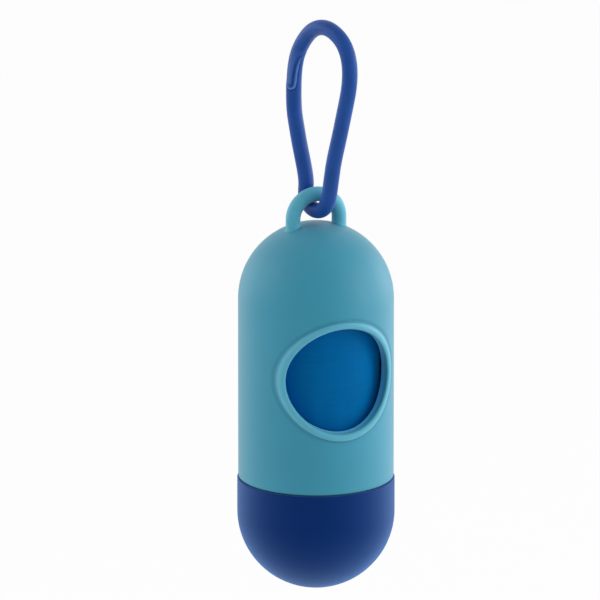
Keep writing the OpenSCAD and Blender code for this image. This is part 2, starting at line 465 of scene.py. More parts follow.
def through_tree(piece, rule, values):
    """Runs a piece's mesh through the tree of a rule and leaves it the plain mesh that comes out."""
    tree = rule(values)
    modifier = piece.modifiers.new(tree.name, "NODES")
    modifier.node_group = tree
    for item in tree.interface.items_tree:
        if item.name in values:
            modifier[item.identifier] = values[item.name]
    bpy.context.view_layer.update()
    old = piece.data
    made = bpy.data.meshes.new_from_object(piece.evaluated_get(bpy.context.evaluated_depsgraph_get()))
    piece.modifiers.clear()
    piece.data = made
    bpy.data.meshes.remove(old)


def new_piece(name, mesh, material=None):
    """An object at the origin that holds a mesh."""
    piece = bpy.data.objects.new(name, mesh)
    bpy.context.scene.collection.objects.link(piece)
    if material:
        mesh.materials.append(material)
    return piece


def settle(piece, body, node):
    """Puts a finished piece on its body, in place of the packed model's node."""
    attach(piece, body)
    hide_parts(node)


def thread_values(scene, m, first_angle, way, material):
    """What the screw thread's tree needs."""
    thread = scene.dispenser_thread
    return {
        "Ridge height": thread.thread_h,
        "Lead": thread.thread_lead,
        "Starts": float(thread.thread_starts),
        "First angle": first_angle,
        "Lowest height": m.thread_z,
        "Turn": m.thread_turn,
        "Foot width": thread.ridge_foot - thread.foot_ease,
        "Crest width": thread.ridge_crest,
        "Rounding": thread.ridge_round,
        "Run-out": thread.run_out,
        "Way": way,
        "Material": material,
    }


def new_material(name):
    """The net of an empty material, and a function that ends it in a given shader or in a plain one."""
    material = bpy.data.materials.new(name)
    material.use_nodes = True
    material.node_tree.nodes.clear()
    net = Net(material.node_tree)

    def end(shader=None, **sockets):
        values = {name.replace("_", " "): value for name, value in sockets.items()}
        shader = shader or net.add("ShaderNodeBsdfPrincipled", None, values)
        net.add("ShaderNodeOutputMaterial", None, {"Surface": shader})
        return material

    return net, end


def shaded(tint, times):
    """A colour made darker or lighter, as a shader's colour value."""
    return tuple(min(1.0, part * times) for part in tint) + (1.0,)


# Where the shell's painted tones begin and end: heights over its wall for its raised parts (rubbed wear and
# painted highlight), the eyelet, the grooves (painted shade) and the window's wall (painted light from the
# film), and distances from the middle of the eyelet's arch and from the window's edge.
RAISED = (0.1 * MM, 0.5 * MM)
EYELET = (0.8 * MM, 1.6 * MM)
SUNK_SHADE = (-0.16 * MM, -0.04 * MM)
WALL_BOUNCE = (-1.8 * MM, -0.3 * MM)
ARCH_SIDES = (-0.5 * MM, 0.9 * MM)
WINDOW_EDGE = (0.3 * MM, 1.2 * MM)


def shell_wear_and_painted_light(colours, m):
    """The rule of the shell's tone: paler where it stands out, as rubbed wear and a painted highlight, with
    painted shade on the eyelet's inner side; painted shade in grooves and on sunk faces; painted light from
    the film, bluer, on the window's wall.
    """

    def wear_and_painted_light(net, place, tone):
        x, y, z = net.split(place)
        over = net.maths("MAXIMUM", z - m.dome_z, 0.0)
        height = net.maths("SQRT", x * x + y * y + over * over) - m.body_r
        out = net.reach(x, net.maths("MAXIMUM", z - m.arch_z, 0.0)) - m.arch_r
        # Rubbed wear and painted highlight: paler where the shell stands out, with less of it on the eyelet's
        # inner side as painted shade.
        inner = net.mapped(height, *EYELET) * net.mapped(out, *ARCH_SIDES, 0.35, 0.0)
        tone = net.mix(net.mapped(height, *RAISED) * (1.0 - inner), tone, shaded(colours.rubbed_and_highlight, 1.0))
        # Painted shade: a tenth darker in the groove round the rim's foot and on every face sunk below the
        # outer wall.
        tone = net.mix(net.mapped(height, *SUNK_SHADE, 1.0, 0.0), tone, shaded(colours.shell, 0.9))
        # Painted reflected light: the window's wall turns bluer, as if lit by the film behind it.
        away = net.reach(x, z - m.window_z) - m.window_r
        wall = net.mapped(height, *WALL_BOUNCE, 1.0, 0.0) * net.mapped(away, *WINDOW_EDGE, 1.0, 0.0)
        return net.mix(wall, tone, shaded(colours.wall, 1.0))

    return wear_and_painted_light


def moulded_plastic(name, tint, specular, sheen, shine=(1, 1, 1, 1), bloom=(1, 1, 1, 1), wear_and_painted_light=None):
    """Satin moulded plastic: faint clouds from the melt and a fine grain. A rule may change its tone with
    wear and painted light and shade, the shine tints its gloss and the bloom its sheen."""
    net, end = new_material(name)
    place = net.add("ShaderNodeTexCoord", out="Object")
    cloud = net.noise(place, 45.0, 3.0)
    tone = net.mix(net.mapped(cloud, 0.3, 0.7), shaded(tint, 0.965), shaded(tint, 1.035))
    if wear_and_painted_light:
        tone = wear_and_painted_light(net, place, tone)
    speck = net.noise(place, 900.0, 2.0, 0.6)
    fine = net.noise(place, 5200.0, 1.0)
    waves = net.noise(place, 120.0, 1.0)
    return end(
        Base_Color=tone,
        Roughness=0.5 + (cloud - 0.5) * 0.06 + (speck - 0.5) * 0.05,
        Specular_IOR_Level=specular,
        Specular_Tint=shine,
        Sheen_Weight=sheen,
        Sheen_Roughness=0.55,
        Sheen_Tint=bloom,
        Normal=net.bump(0.35, 0.03 * MM, fine + waves * 1.5),
    )


def silicone(name, colours):
    """Soft silicone cord: a dull skin with faint streaks along its length, a little dust, a painted highlight
    on the joint's lip and tongue and painted shade beside them.
    """
    tint = colours.strap
    net, end = new_material(name)
    place = net.add("ShaderNodeAttribute", {"attribute_name": "cord_place"}, out="Vector")
    along = net.add("ShaderNodeMapping", None, {"Vector": place, "Scale": (0.18, 1.0, 1.0)})
    streak = net.noise(along, 700.0, 2.0)
    cloud = net.noise(place, 160.0, 2.0)
    tone = net.mix(net.mapped(streak * 0.5 + cloud * 0.5, 0.35, 0.65), shaded(tint, 0.92), shaded(tint, 1.08))
    dust = net.mapped(net.noise(place, 2600.0, 1.0), 0.66, 0.74)
    tone = net.mix(dust * 0.05, tone, shaded(colours.dust, 1.0))
    # Painted light at the joint: paler for the painted highlight on its lip and tongue, darker for the
    # painted shade in the hollow behind the lip and along the line under it.
    joint = net.add("ShaderNodeAttribute", {"attribute_name": "lap_painted_light"}, out="Fac")
    tone = net.mix(net.mapped(joint, 0.0, 1.0, smooth=False), tone, shaded(colours.joint, 1.0))
    tone = net.mix(net.mapped(joint, -1.0, 0.0, 1.0, 0.0, smooth=False), tone, shaded(tint, 0.4))
    return end(
        Base_Color=tone,
        Roughness=0.42 + (cloud - 0.5) * 0.1,
        Specular_IOR_Level=0.15,
        Sheen_Weight=0.1,
        Sheen_Roughness=0.4,
        Normal=net.bump(0.3, 0.03 * MM, streak + cloud),
    )


def wound_film(name, tint):
    """Thin bag film wound tight: fine lines round the roll, soft creases and a dull sheen."""
    net, end = new_material(name)
    x, y, z = net.split(net.add("ShaderNodeTexCoord", out="Object"))
    lines = net.noise(net.vector(x * 0.06, y * 0.06, z), 1500.0, 2.0)
    crease = net.noise(net.vector(x, y, z * 0.12), 260.0, 3.0)
    share = net.mapped(lines * 0.4 + crease * 0.6, 0.35, 0.65)
    return end(
        Base_Color=net.mix(share, shaded(tint, 0.95), shaded(tint, 1.05)),
        Roughness=0.5 + (crease - 0.5) * 0.15,
        Specular_IOR_Level=0.02,
        Sheen_Weight=1.0,
        Sheen_Roughness=0.4,
        Sheen_Tint=(0.0, 0.45, 0.9, 1.0),
        Normal=net.bump(0.25, 0.03 * MM, lines * 0.3 + crease * 2.0),
    )


def card(name, tint, lay):
    """Grey-brown card: short fibres, a mottled tone and the darker line of its wound strip."""
    net, end = new_material(name)
    place = net.add("ShaderNodeTexCoord", out="Object")
    x, y, z = net.split(place)
    long = net.add("ShaderNodeMapping", None, {"Vector": place, "Scale": (1.0, 1.0, 0.3)})
    fibre = net.noise(long, 1800.0, 3.0)
    mottle = net.noise(place, 300.0, 3.0)
    joint = net.mapped(net.maths("PINGPONG", z / lay - net.turn(x, y), 0.5), 0.0, 0.012)
    tone = net.mix(net.mapped(fibre * 0.6 + mottle * 0.4, 0.3, 0.7), shaded(tint, 0.78), shaded(tint, 1.18))
    return end(
        Base_Color=net.mix(joint, shaded(tint, 0.55), tone),
        Roughness=0.85 + (mottle - 0.5) * 0.1,
        Specular_IOR_Level=0.2,
        Normal=net.bump(0.5, 0.05 * MM, fibre + joint * 0.8),
    )


def film_tree(values):
    """The rule of the wound roll: a free edge, creases along it, and the edges of its turns on both ends."""
    net, given = geometry_tree("Wound film", values)
    x, y, z = net.split(net.add("GeometryNodeInputPosition"))
    radius = net.reach(x, y)
    turn = net.maths("FRACT", net.turn(x, y) + 0.75)
    side = net.mapped(radius, given["Roll radius"] - given["Side depth"], given["Roll radius"])
    folds = net.noise(net.vector(x, y, z * 0.1), 420.0, 2.0)
    bands = net.noise(net.vector(x * 0.05, y * 0.05, z), 240.0, 2.0)
    sunk = given["Film step"] * turn + given["Crease"] * net.mapped(folds * 0.6 + bands * 0.4, 0.35, 0.65)
    inward = side * sunk / radius * -1.0
    low = net.mapped(z - given["Lower end"], 0.0, given["End depth"], 1.0, 0.0)
    high = net.mapped(given["Upper end"] - z, 0.0, given["End depth"], 1.0, 0.0)
    ridge = net.maths("PINGPONG", radius / given["Turn pitch"] - turn, 0.5)
    uneven = net.noise(net.vector(x, y, 0.0), 380.0, 2.0)
    dent = (ridge * 0.5 + uneven * 0.5) * given["Turn depth"] * (1.0 - side)
    return end_shifted(net, given, net.vector(x * inward, y * inward, (low - high) * dent))


def card_tree(values):
    """The rule of the card core: the joint of its wound strip runs round it as a shallow groove."""
    net, given = geometry_tree("Wound card", values)
    x, y, z = net.split(net.add("GeometryNodeInputPosition"))
    radius = net.reach(x, y)
    joint = net.mapped(net.maths("PINGPONG", z / given["Lay"] - net.turn(x, y), 0.5), 0.0, 0.02, 1.0, 0.0)
    outside = net.mapped(radius, given["Outside"] - given["Side depth"], given["Outside"])
    inward = joint * outside * given["Groove"] / radius * -1.0
    return end_shifted(net, given, net.vector(x * inward, y * inward, 0.0))


def floor_material(tint):
    """A pale floor that looks white to the camera and still keeps a soft shadow."""
    net, end = new_material("Studio floor")
    place = net.add("ShaderNodeTexCoord", out="Object")
    tone = net.mix(net.noise(place, 3.0), shaded(tint, 0.99), shaded(tint, 1.01))
    plain = net.add("ShaderNodeBsdfDiffuse", None, {"Color": tone})
    white = net.add("ShaderNodeEmission", None, {"Color": (1, 1, 1, 1), "Strength": 1.0})
    lit = net.add("ShaderNodeMixShader", None, {0: seen_directly(net) * 0.95, 1: plain, 2: white})
    clear = net.add("ShaderNodeBsdfTransparent")
    back = net.add("ShaderNodeNewGeometry", out="Backfacing")
    below = back * net.add("ShaderNodeLightPath", out="Is Camera Ray")
    return end(net.add("ShaderNodeMixShader", None, {0: below, 1: lit, 2: clear}))


def seen_directly(net):
    """Is 1 for what the camera sees, straight, in a reflection or through glass."""
    camera, glossy, passed = (
        net.add("ShaderNodeLightPath", out=f"Is {kind} Ray") for kind in ("Camera", "Glossy", "Transmission")
    )
    return net.maths("MINIMUM", camera + glossy + passed, 1.0)


def white_world(strength, front, side):
    """A world that looks white and lights the pieces with a plain grey, brighter from the left and right."""
    world = bpy.data.worlds.new("Studio")
    world.use_nodes = True
    world.node_tree.nodes.clear()
    net = Net(world.node_tree)
    across = net.vectors("DOT_PRODUCT", net.add("ShaderNodeTexCoord"), tuple(side), out="Value")
    grey = net.mapped(net.maths("ABSOLUTE", across), 0.0, 1.0, strength * front, strength)
    direct = seen_directly(net)
    level = direct + grey * (1.0 - direct)
    light = net.add("ShaderNodeBackground", None, {"Color": (1, 1, 1, 1), "Strength": level})
    net.add("ShaderNodeOutputWorld", None, {"Surface": light})
    return world


def view_direction(stage):
    """The direction from the capsule to the camera."""
    level = math.cos(stage.elevation)
    azimuth = stage.azimuth
    return Vector((math.sin(azimuth) * level, -math.cos(azimuth) * level, math.sin(stage.elevation)))


def side_direction(stage):
    """The direction to the right of the picture."""
    return Vector((math.cos(stage.azimuth), math.sin(stage.azimuth), 0))


def box_loop(half_wide, half_high, steps_wide, steps_high):
    """Points round a rectangle, anticlockwise from the middle of its right side."""
    across = half_wide * 2 / steps_wide
    up = half_high * 2 / steps_high
    points = [(half_wide, up * i) for i in range(steps_high // 2)]
    points += [(half_wide - across * i, half_high) for i in range(steps_wide)]
    points += [(-half_wide, half_high - up * i) for i in range(steps_high)]
    points += [(-half_wide + across * i, -half_high) for i in range(steps_wide)]
    points += [(half_wide, -half_high + up * i) for i in range(steps_high // 2)]
    return points


def eased(count, power=1.0):
    """Shares of a way that end at 1, closer together towards the end where the power is above 1."""
    return [1 - (1 - i / count) ** power for i in range(1, count + 1)]


def eyelet(skin, shell, m):
    """The top of the dome with the eyelet's arch, whose feet stand in two squares. Gives the outer ring."""
    side = shell.arch_r
    bar = shell.bar_d / 2
    fillet = shell.foot_fillet

    def on_dome(x, y):
        return m.dome_z + math.sqrt(m.body_r**2 - x * x - y * y)

    outer = box_loop(2 * side, side, 2 * FOOT_SIDE, FOOT_SIDE)
    outer_ring = skin.ring([(x, y, on_dome(x, y)) for x, y in outer])
    heights = [side - 2 * side * i / FOOT_SIDE for i in range(1, FOOT_SIDE)]
    middle = skin.ring([(0, y, on_dome(0, y)) for y in heights])
    half = 3 * FOOT_SIDE // 2
    lower = len(outer) - half
    edges = {
        1: outer_ring[: half + 1] + middle + outer_ring[lower:],
        -1: outer_ring[half : 2 * half + 1][::-1] + middle + outer_ring[2 * half + 1 : lower + 1][::-1],
    }
    square = box_loop(side, side, FOOT_SIDE, FOOT_SIDE)
    turns = [math.tau * i / len(square) for i in range(len(square))]

    def foot_ring(way, radius, share=1.0, lift=0.0):
        points = []
        for (x, y), turn in zip(square, turns):
            px = side + (1 - share) * x + share * radius * math.cos(turn)
            py = (1 - share) * y + share * radius * math.sin(turn)
            points.append((way * px, py, on_dome(px, py) + lift))
        return points

    tops = {}
    for way, edge in edges.items():
        rings = [edge]
        for share in eased(10, 1.4):
            rings.append(skin.ring(foot_ring(way, bar + fillet, share)))
        for i in range(1, 7):
            turn = math.pi / 2 * i / 6
            rise = fillet * (1 - math.cos(turn))
            rings.append(skin.ring(foot_ring(way, bar + fillet * (1 - math.sin(turn)), 1.0, rise)))
        foot = [skin.points[number] for number in rings[-1]]
        for share in line(0, 1, 6):
            rings.append(skin.ring([(x, y, z + (m.arch_z - z) * share) for x, y, z in foot]))
        skin.chain(rings)
        tops[way] = rings[-1]

    steps = 60
    rings = [tops[1]]
    for i in range(1, steps):
        bend = math.pi * i / steps
        ring = []
        for turn in turns:
            out = side + bar * math.cos(turn)
            ring.append((out * math.cos(bend), bar * math.sin(turn), m.arch_z + out * math.sin(bend)))
        rings.append(skin.ring(ring))
    skin.chain(rings + [tops[-1]])
    return outer_ring


def rim_outline(shell, m):
    """The window's edge from outside to inside, each point as (distance from its centre, from the axis)."""
    foot = shell.rim_foot
    inside = shell.rim_inside
    soft = shell.rim_round
    top = m.body_r + shell.rim_h
    crest = m.window_r + soft
    low = m.body_r - shell.rim_groove
    points = [(m.rim_r + 3 * foot, m.body_r), (m.rim_r + 2.4 * foot, (m.body_r + low) / 2)]
    points += [(m.rim_r + 1.8 * foot, low), (m.rim_r + 1.3 * foot, low)]
    points += arc((m.rim_r + foot, low + foot), foot, -90, -150, 3)
    start = points[-1]
    for turn in line(0, 90, 8):
        bend = math.radians(turn)
        points.append(
            (crest + (start[0] - crest) * math.cos(bend), start[1] + (top - start[1]) * math.sin(bend))
        )
    points += arc((crest, top - soft), soft, 90, 180, 10)[1:]
    low = m.chamber_r + inside
    points += [(m.window_r, top - soft + (low - top + soft) * share) for share in (0.1, 0.5, 0.9)]
    points += arc((m.window_r + inside, low), inside, 180, 270, 7)
    points += [(m.window_r + inside + foot, m.chamber_r)]
    return points


def window(skin, shell, m, outer_rows, inner_rows):
    """The round window with its raised rim, set into the squared holes left in the wall's two sides."""
    lines = (len(outer_rows) - 1) // 2
    cells = box_loop(WINDOW_HALF, lines, 2 * WINDOW_HALF, 2 * lines)
    middle = 3 * AROUND // 4
    outer_edge = [outer_rows[lines - round(v)][middle + round(u)] for u, v in cells]
    inner_edge = [inner_rows[lines - round(v)][middle + round(u)] for u, v in cells]
    step = math.tau / AROUND
    edge = [(u * step, v * shell.window_drop / lines) for u, v in cells]
    turns = [math.tau * i / len(cells) for i in range(len(cells))]

    def blended(share, reach, radius):
        """Points on a wall of that radius, between the squared hole and a circle of that reach."""
        points = []
        for (angle, up), turn in zip(edge, turns):
            angle += (math.asin(reach * math.cos(turn) / radius) - angle) * share
            up += (reach * math.sin(turn) - up) * share
            points.append((radius * math.sin(angle), -radius * math.cos(angle), m.window_z + up))
        return points

    outline = rim_outline(shell, m)
    rings = [outer_edge]
    for share in eased(8, 1.3)[:-1]:
        rings.append(skin.ring(blended(share, outline[0][0], m.body_r)))
    for reach, radius in outline:
        ring = []
        for turn in turns:
            x = reach * math.cos(turn)
            ring.append((x, -math.sqrt(radius * radius - x * x), m.window_z + reach * math.sin(turn)))
        rings.append(skin.ring(ring))
    for share in eased(8, 1.3)[:-1][::-1]:
        rings.append(skin.ring(blended(share, outline[-1][0], m.chamber_r)))
    skin.chain(rings + [inner_edge])


def shell_mesh(scene, m):
    """The upper shell: eyelet, dome, tube with its window, lower edge, threaded neck and the inside."""
    shell = scene.dispenser_shell
    skin = Skin()
    top = eyelet(skin, shell, m)
    reach = 0.85 * m.body_r
    outer = [top]
    flat = [skin.points[number] for number in top]
    for share in eased(7):
        ring = []
        for (x, y, z), (cx, cy, cz) in zip(flat, turned(reach, 0)):
            px = x + (cx - x) * share
            py = y + (cy - y) * share
            ring.append((px, py, m.dome_z + math.sqrt(m.body_r**2 - px * px - py * py)))
        outer.append(skin.ring(ring))
    start = math.degrees(math.acos(reach / m.body_r))
    outer += skin.lay(arc((0, m.dome_z), m.body_r, start, 0, 9)[1:])
    skin.chain(outer)

    low = m.window_z - shell.window_drop
    heights = [m.dome_z] + line(m.dome_z, low, 48)
    outer_rows = [outer[-1]] + skin.lay([(m.body_r, z) for z in heights[1:]])
    inner_rows = skin.lay([(m.chamber_r, z) for z in heights])
    hole = set(range(3 * AROUND // 4 - WINDOW_HALF, 3 * AROUND // 4 + WINDOW_HALF))
    for rows in (outer_rows, inner_rows):
        for first, second in zip(rows, rows[1:]):
            skin.join(first, second, hole)
    window(skin, shell, m, outer_rows, inner_rows)

    bevel = shell.shell_bevel
    ledge = 0.1 * MM
    root = 0.15 * MM
    end = 0.2 * MM
    edge = [(m.body_r, z) for z in line(low, m.seam_z + bevel + root, 9)]
    edge += arc((m.body_r - bevel, m.seam_z + bevel), bevel, 0, -90, 6)
    edge += [(m.body_r - bevel - ledge, m.seam_z)]
    edge += arc((m.neck_r + root, m.seam_z - root), root, 90, 180, 4)
    neck = [(m.neck_r, z) for z in line(m.seam_z - root, m.neck_z + end, 58)]
    tail = arc((m.neck_r - end, m.neck_z + end), end, 0, -90, 4)[1:]
    tail += arc((m.chamber_r + end, m.neck_z + end), end, -90, -180, 4)
    tail += [(m.chamber_r, z) for z in line(m.neck_z + end, low, 14)[:-1]]
    skin.chain([outer_rows[-1]] + skin.lay(edge) + skin.lay(neck, 1.0) + skin.lay(tail) + [inner_rows[-1]])

    ceiling = skin.lay(arc((0, m.dome_z), m.chamber_r, 0, 88.5, 24)[1:])
    skin.chain([inner_rows[0]] + ceiling)
    skin.close(ceiling[-1], (0, 0, m.dome_z + m.chamber_r))
    return skin.mesh("domed_tube")


def cap_mesh(scene, m):
    """The lower cap: round end, skirt, upper edge, threaded bore, ledge and the round inside."""
    cap = scene.dispenser_cap
    skin = Skin()
    bevel = cap.cap_bevel
    small = 0.15 * MM
    outside = arc((0, m.low_z), m.cap_r, -88.8, 0, 40)
    outside += [(m.cap_r, z) for z in line(m.low_z, m.rim_z - bevel - small, 8)]
    outside += arc((m.cap_r - bevel, m.rim_z - bevel), bevel, 0, 90, 5)
    outside += arc((m.cap_bore_r + small, m.rim_z - small), small, 90, 180, 4)
    bore = [(m.cap_bore_r, z) for z in line(m.rim_z - small, m.low_z + small, 58)]
    inside = arc((m.cap_bore_r - small, m.low_z + small), small, 0, -90, 3)[1:]
    inside += [(m.floor_r + small, m.low_z)]
    inside += arc((0, m.low_z), m.floor_r, -0.8, -88.6, 36)
    rings = skin.lay(outside) + skin.lay(bore, 1.0) + skin.lay(inside)
    skin.chain(rings)
    skin.close(rings[0], (0, 0, m.low_z - m.cap_r))
    skin.close(rings[-1], (0, 0, m.low_z - m.floor_r))
    return skin.mesh("cap")


def tube_mesh(name, inner_r, outer_r, low_z, high_z, edge, steps, across=32, inside=24):
    """A tube with rounded edges: its outside, top, inside and bottom, with many rings on each."""
    skin = Skin()
    tall = high_z - low_z
    wide = outer_r - inner_r
    heights = [edge + tall / steps * i for i in range(1, steps)]
    widths = [wide / across * i for i in range(1, across)]
    flat = [step for step in widths if edge < step < wide - edge]
    outline = [(outer_r, low_z + step) for step in heights if step < tall - edge]
    outline += arc((outer_r - edge, high_z - edge), edge, 0, 90, 4)
    outline += [(outer_r - step, high_z) for step in flat]
    outline += arc((inner_r + edge, high_z - edge), edge, 90, 180, 4)
    outline += [(inner_r, high_z - tall * i / inside) for i in range(1, inside)]
    outline += arc((inner_r + edge, low_z + edge), edge, 180, 270, 4)
    outline += [(inner_r + step, low_z) for step in flat]
    outline += arc((outer_r - edge, low_z + edge), edge, 270, 360, 4)
    rings = skin.lay(outline)
    skin.chain(rings + [rings[0]])
    return skin.mesh(name)


def unit(rows):
    """A vector of length 1 along each row."""
    return rows / np.linalg.norm(rows, axis=1)[:, None]


def smooth_loop(points, blur, count=6000):
    """A closed curve through points as many close places: a periodic cubic spline, then a light blur."""
    knots = np.array(points)
    total = len(knots)
    after = np.roll(knots, -1, axis=0)
    gap = np.linalg.norm(after - knots, axis=1)
    back = np.roll(gap, 1)
    steps = (after - knots) / gap[:, None]
    matrix = np.zeros((total, total))
    for i in range(total):
        matrix[i, i - 1] += back[i]
        matrix[i, i] += 2 * (back[i] + gap[i])
        matrix[i, (i + 1) % total] += gap[i]
    bend = np.linalg.solve(matrix, 6 * (steps - np.roll(steps, 1, axis=0)))
    places = np.linspace(0, gap.sum(), count, endpoint=False)
    starts = np.concatenate([[0], np.cumsum(gap)])
    piece = np.searchsorted(starts, places, side="right") - 1
    done = (places - starts[piece])[:, None]
    left = gap[piece][:, None] - done
    wide = gap[piece][:, None]
    first, second = bend[piece], np.roll(bend, -1, axis=0)[piece]
    curve = (first * left**3 + second * done**3) / (6 * wide)
    curve += (knots[piece] / wide - first * wide / 6) * left
    curve += (after[piece] / wide - second * wide / 6) * done
    spread = blur * count / gap.sum()
    waves = np.fft.fftfreq(count)
    damped = np.fft.fft(curve, axis=0) * np.exp(-2 * (math.pi * waves * spread) ** 2)[:, None]
    return np.real(np.fft.ifft(damped, axis=0))


# Distances between the strap's rings, and between those in its lap joint.
RING_STEP = 0.5 * MM
LAP_STEP = 0.12 * MM

# Sizes of the lap joint in millimetres: its reach above and below its tip, the height over which it fades,
# the middle and half of the span that holds its edge, the edge's softness, and the middle and width of the
# raised lip, of the hollow behind it and of the line under it.
LAP_TALL = 13
LAP_TAIL = 3
LAP_FADE = 6
LAP_SPAN = (5.5, 8)
LAP_SOFT = 0.16
LIP = (0.28, 0.3)
HOLLOW = (0.9, 0.35)
UNDERLINE = (-0.2, 0.22)


def strap_route(scene):
    """The strap's rings from under the eyelet on: centres, places along it, its length, the lap's tip."""
    strap = scene.dispenser_strap
    route = [(out * MM, up * MM) for out, up in ROUTE]
    flat = smooth_loop(route[ROUTE_LOWEST:] + route[:ROUTE_LOWEST], strap.route_blur)
    closed = np.vstack([flat, flat[:1]])
    along = np.concatenate([[0], np.cumsum(np.linalg.norm(np.diff(closed, axis=0), axis=1))])
    whole = along[-1]
    falling = (flat[:, 0] < 0) & (flat[:, 1] < -strap.lap_drop) & (along[:-1] > whole / 2)
    tip = along[np.argmax(falling)]
    first, last = tip - LAP_TALL * MM, tip + LAP_TAIL * MM
    spans = ((0, first, RING_STEP), (first, last, LAP_STEP), (last, whole, RING_STEP))
    parts = [np.linspace(low, high, round((high - low) / step), endpoint=False) for low, high, step in spans]
    places = np.concatenate(parts)
    out = np.interp(places, along, closed[:, 0])
    up = np.interp(places, along, closed[:, 1])
    turn = strap.loop_turn
    centres = np.stack([out * math.sin(turn), -out * math.cos(turn), up], axis=1)
    return centres, places, whole, tip


def cord_tree(values):
    """The rule of the strap: a round cord swept along its wire, which keeps its own straight coordinates."""
    net, given = geometry_tree("Swept cord", values)
    curve = net.add("GeometryNodeMeshToCurve", None, {0: given["Geometry"]})
    sizes = {"Resolution": given["Sides"], "Radius": given["Cord radius"]}
    circle = net.add("GeometryNodeCurvePrimitiveCircle", None, sizes)
    cord = net.add("GeometryNodeCurveToMesh", None, {"Curve": curve, "Profile Curve": circle})

    def kept(name, kind="FLOAT_VECTOR"):
        return net.add("GeometryNodeInputNamedAttribute", {"data_type": kind}, {"Name": name})

    out = net.vectors("SUBTRACT", net.add("GeometryNodeInputPosition"), kept("centre"))
    sides = [net.vectors("DOT_PRODUCT", out, kept(name), out="Value") for name in ("flat_side", "bend_side")]
    place = net.vector(kept("along", "FLOAT"), *sides)
    settings = {"data_type": "FLOAT_VECTOR", "domain": "POINT"}
    store = {"Geometry": cord, "Name": "cord_place", "Value": place}
    stored = net.add("GeometryNodeStoreNamedAttribute", settings, store)
    return end_tree(net, stored, given["Material"])


# The edge of the overlapping end, round the cord from the back: the angle from the photographed side to its
# right, in degrees, and the height above the tip.
LAP_EDGE = (
    (-180, 6.3), (-150, 4.3), (-110, 1.9), (-80, 0.9), (-45, 0.15), (-20, 0), (0, 0.25), (12, 0.8), (18, 1.8),
    (21, 3.4), (23, 5.4), (27, 7.6), (36, 9.6), (60, 10.7), (90, 10.9), (120, 10.2), (150, 8.6), (180, 6.3),
)

# How far the lip stands out round the cord, as a share, for such an angle.
LAP_LIP = (
    (-180, 0.4), (-120, 0.4), (-85, 0.0), (-60, 0.0), (-35, 0.9), (-20, 1), (40, 1), (75, 0.6), (120, 0.4),
    (180, 0.4),
)


def press_lap(mesh, scene, tip):
    """Shapes the joint of the cord's two ends: a tongue with a raised lip, laid over the lower end."""
    strap = scene.dispenser_strap
    radius = strap.cord_d / 2 / MM
    count = len(mesh.vertices)

    def read(name, size=3):
        values = np.empty(count * size, dtype=np.float32)
        mesh.attributes[name].data.foreach_get("value" if size == 1 else "vector", values)
        return values.reshape(count, size).astype(float)

    points = read("position")
    out = unit(points - read("centre"))
    rising = np.cross(read("bend_side"), read("flat_side"))
    rising *= np.sign(rising[:, 2:3] + 1e-9)
    face = np.array([math.sin(strap.lap_turn), -math.cos(strap.lap_turn), 0])
    near = unit(face - rising * (rising @ face)[:, None])
    right = np.cross(rising, near)
    angle = np.degrees(np.arctan2((out * right).sum(axis=1), (out * near).sum(axis=1)))
    height = (tip - read("along", 1)[:, 0]) / MM

    fine = np.linspace(-180, 180, 721)
    level = np.interp(fine, *zip(*LAP_EDGE))
    level = np.convolve(np.pad(level, 8, mode="wrap"), np.ones(17) / 17, mode="valid")
    edge = np.stack([np.radians(fine) * radius, level], axis=1)
    middle, half = LAP_SPAN
    close = np.abs(height - middle) < half
    place = np.stack([np.radians(angle[close]) * radius, height[close]], axis=1)
    gaps = np.min(np.linalg.norm(place[:, None, :] - edge[None, :, :], axis=2), axis=1)
    far = 20.0
    distance = np.full(count, -far)
    distance[close] = np.where(place[:, 1] > np.interp(angle[close], fine, level), gaps, -gaps)
    distance[height > LAP_TALL] = far

    tongue = np.clip(distance / LAP_SOFT + 0.5, 0, 1)
    fade = np.clip((LAP_TALL - height) / LAP_FADE, 0, 1)
    share = np.interp(angle, *zip(*LAP_LIP))
    lip, hollow, under = (
        np.exp(-(((distance - middle) / width) ** 2)) * share for middle, width in (LIP, HOLLOW, UNDERLINE)
    )
    flush = strap.lap_lip * (0.3 * share - 0.5 * (1 - share))
    rise = tongue * fade * (flush + strap.lap_lip * lip - strap.lap_groove * hollow)
    rise -= 0.5 * strap.lap_groove * (1 - tongue) * under
    points += out * rise[:, None]
    mesh.vertices.foreach_set("co", points.astype(np.float32).ravel())
    # Tone of the joint: painted highlight on the tongue's face and lip, painted shade in the hollow and the
    # line under it.
    flat = 0.45 * np.clip((distance - HOLLOW[0]) / (2 * HOLLOW[1]), 0, 1)
    keep(mesh, "lap_painted_light", fade * share * (tongue * (flat + lip) - 0.5 * hollow) - 0.5 * under)


def even_faces(mesh):
    """Drops a mesh's unused points, turns its faces outwards and shades it smooth. It has to be closed."""
    work = bmesh.new()
    work.from_mesh(mesh)
    bmesh.ops.delete(work, geom=[point for point in work.verts if not point.link_faces], context="VERTS")
    bmesh.ops.recalc_face_normals(work, faces=work.faces)
    if any(not edge.is_manifold for edge in work.edges):
        raise RuntimeError(f"{mesh.name} isn't closed")
    if work.calc_volume(signed=True) < 0:
        bmesh.ops.reverse_faces(work, faces=work.faces)
    for face in work.faces:
        face.smooth = True
    work.to_mesh(mesh)
    work.free()


